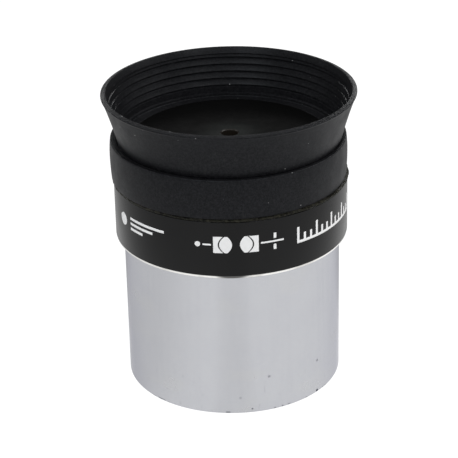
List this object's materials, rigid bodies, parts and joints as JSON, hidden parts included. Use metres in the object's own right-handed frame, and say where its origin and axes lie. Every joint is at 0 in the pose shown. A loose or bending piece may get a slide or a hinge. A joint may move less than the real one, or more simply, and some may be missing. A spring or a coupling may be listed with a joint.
{
  "type": "telescope eyepiece",
  "caption": "Short-focus telescope eyepiece with a chromed push-in barrel, a black metal body, a fold-down rubber eyecup and cemented doublet lenses.",
  "frame": {"origin": "on the optical axis, at the open end of the barrel", "axes": "+Z along the optical axis, from the barrel's open end towards the eye; the part is round about Z, and -Y faces the viewer of the body's marks"},
  "size_m": [0.0368, 0.0368, 0.0446],
  "materials": {
    "chromed_brass": "polished",
    "black_anodised": "satin",
    "black_rubber": "matte",
    "blackened_metal": "matte",
    "crown_glass": "polished",
    "flint_glass": "polished"
  },
  "bodies": {
    "barrel_body": {"barrel": "chromed_brass"},
    "eyecup_base": {"eyecup_collar": "black_rubber", "eyecup_skirt": "black_rubber"},
    "lip_body": {"eyecup_lip": "black_rubber"},
    "housing_body": {"housing": "black_anodised", "lens_cell": "blackened_metal", "eye_flint_lens": "flint_glass", "eye_crown_lens": "crown_glass", "lens_spacer": "blackened_metal", "field_crown_lens": "crown_glass", "field_flint_lens": "flint_glass", "lens_retainer": "blackened_metal", "field_stop": "blackened_metal"}
  },
  "joints": [
    {"name": "housing_lift", "type": "slide", "parent": "barrel_body", "child": "eyecup_base", "axis": [0, 0, 1], "range_m": [0, 0.0048]},
    {"name": "housing_turn", "type": "hinge", "parent": "eyecup_base", "child": "housing_body", "pos_m": [0, 0, 0.0225], "axis": [0, 0, 1], "range_deg": [0, 2881]},
    {"name": "eyecup_fold", "type": "slide", "parent": "eyecup_base", "child": "lip_body", "axis": [0, 0, -1], "range_m": [0, 0.0049], "deforming": ["eyecup_skirt"]}
  ],
  "couplings": [
    {"joint": "housing_turn", "follows": "housing_lift", "rad_per_m": 10472}
  ]
}
